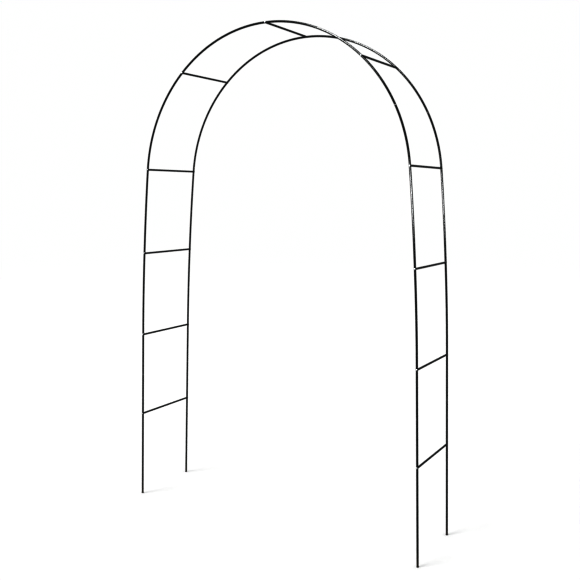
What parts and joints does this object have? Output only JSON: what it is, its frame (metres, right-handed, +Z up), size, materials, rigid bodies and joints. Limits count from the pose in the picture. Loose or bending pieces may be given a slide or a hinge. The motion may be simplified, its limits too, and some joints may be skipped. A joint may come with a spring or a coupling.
{
  "type": "garden trellis arch",
  "caption": "Free-standing garden arch for climbing plants: two thin tube hoops joined by straight screwed rungs, in plug-together frames.",
  "frame": {"origin": "on the ground, midway between the four feet", "axes": "+X along the width, -Y out of the front hoop, +Z up"},
  "size_m": [1.6062, 0.3898, 2.4],
  "materials": {
    "tubes": "semi-gloss black powder coat",
    "rungs": "semi-gloss black powder coat",
    "zinc_screws": "bright zinc plate",
    "steel_inserts": "plain zinc plate",
    "foot_caps": "moulded black plastic"
  },
  "bodies": {
    "crown_frame": {"crown_tube_front": "tubes", "crown_tube_rear": "tubes", "crown_rung": "rungs", "crown_inserts": "steel_inserts", "crown_screws": "zinc_screws"},
    "left_foot_frame": {"left_foot_tube_front": "tubes", "left_foot_tube_rear": "tubes", "left_foot_rung": "rungs", "left_foot_inserts": "steel_inserts", "left_foot_screws": "zinc_screws", "left_foot_cap_front": "foot_caps", "left_foot_cap_rear": "foot_caps"},
    "left_lower_frame": {"left_lower_tube_front": "tubes", "left_lower_tube_rear": "tubes", "left_lower_rung": "rungs", "left_lower_inserts": "steel_inserts", "left_lower_screws": "zinc_screws"},
    "left_middle_frame": {"left_middle_tube_front": "tubes", "left_middle_tube_rear": "tubes", "left_middle_rung": "rungs", "left_middle_inserts": "steel_inserts", "left_middle_screws": "zinc_screws"},
    "left_upper_frame": {"left_upper_tube_front": "tubes", "left_upper_tube_rear": "tubes", "left_upper_rung": "rungs", "left_upper_inserts": "steel_inserts", "left_upper_screws": "zinc_screws"},
    "left_shoulder_frame": {"left_shoulder_tube_front": "tubes", "left_shoulder_tube_rear": "tubes", "left_shoulder_rung": "rungs", "left_shoulder_inserts": "steel_inserts", "left_shoulder_screws": "zinc_screws"},
    "right_foot_frame": {"right_foot_tube_front": "tubes", "right_foot_tube_rear": "tubes", "right_foot_rung": "rungs", "right_foot_inserts": "steel_inserts", "right_foot_screws": "zinc_screws", "right_foot_cap_front": "foot_caps", "right_foot_cap_rear": "foot_caps"},
    "right_lower_frame": {"right_lower_tube_front": "tubes", "right_lower_tube_rear": "tubes", "right_lower_rung": "rungs", "right_lower_inserts": "steel_inserts", "right_lower_screws": "zinc_screws"},
    "right_middle_frame": {"right_middle_tube_front": "tubes", "right_middle_tube_rear": "tubes", "right_middle_rung": "rungs", "right_middle_inserts": "steel_inserts", "right_middle_screws": "zinc_screws"},
    "right_upper_frame": {"right_upper_tube_front": "tubes", "right_upper_tube_rear": "tubes", "right_upper_rung": "rungs", "right_upper_inserts": "steel_inserts", "right_upper_screws": "zinc_screws"},
    "right_shoulder_frame": {"right_shoulder_tube_front": "tubes", "right_shoulder_tube_rear": "tubes", "right_shoulder_rung": "rungs", "right_shoulder_inserts": "steel_inserts", "right_shoulder_screws": "zinc_screws"}
  },
  "joints": [
    {"name": "left_shoulder_draw_out", "type": "hinge", "parent": "crown_frame", "child": "left_shoulder_frame", "pos_m": [0, 0, 1.67525], "axis": [0, -1, 0], "range_deg": [0, 3.18]},
    {"name": "left_upper_draw_out", "type": "hinge", "parent": "left_shoulder_frame", "child": "left_upper_frame", "pos_m": [0, 0, 1.67525], "axis": [0, -1, 0], "range_deg": [0, 3.18]},
    {"name": "left_middle_pull_off", "type": "slide", "parent": "left_upper_frame", "child": "left_middle_frame", "axis": [-0.0782, 0, -0.9969], "range_m": [0, 0.04]},
    {"name": "left_lower_pull_off", "type": "slide", "parent": "left_middle_frame", "child": "left_lower_frame", "axis": [-0.0465, 0, -0.9989], "range_m": [0, 0.04]},
    {"name": "left_foot_pull_off", "type": "slide", "parent": "left_lower_frame", "child": "left_foot_frame", "axis": [-0.0305, 0, -0.9995], "range_m": [0, 0.04]},
    {"name": "right_shoulder_draw_out", "type": "hinge", "parent": "crown_frame", "child": "right_shoulder_frame", "pos_m": [0, 0, 1.67525], "axis": [0, 1, 0], "range_deg": [0, 3.18]},
    {"name": "right_upper_draw_out", "type": "hinge", "parent": "right_shoulder_frame", "child": "right_upper_frame", "pos_m": [0, 0, 1.67525], "axis": [0, 1, 0], "range_deg": [0, 3.18]},
    {"name": "right_middle_pull_off", "type": "slide", "parent": "right_upper_frame", "child": "right_middle_frame", "axis": [0.0782, 0, -0.9969], "range_m": [0, 0.04]},
    {"name": "right_lower_pull_off", "type": "slide", "parent": "right_middle_frame", "child": "right_lower_frame", "axis": [0.0465, 0, -0.9989], "range_m": [0, 0.04]},
    {"name": "right_foot_pull_off", "type": "slide", "parent": "right_lower_frame", "child": "right_foot_frame", "axis": [0.0305, 0, -0.9995], "range_m": [0, 0.04]}
  ]
}
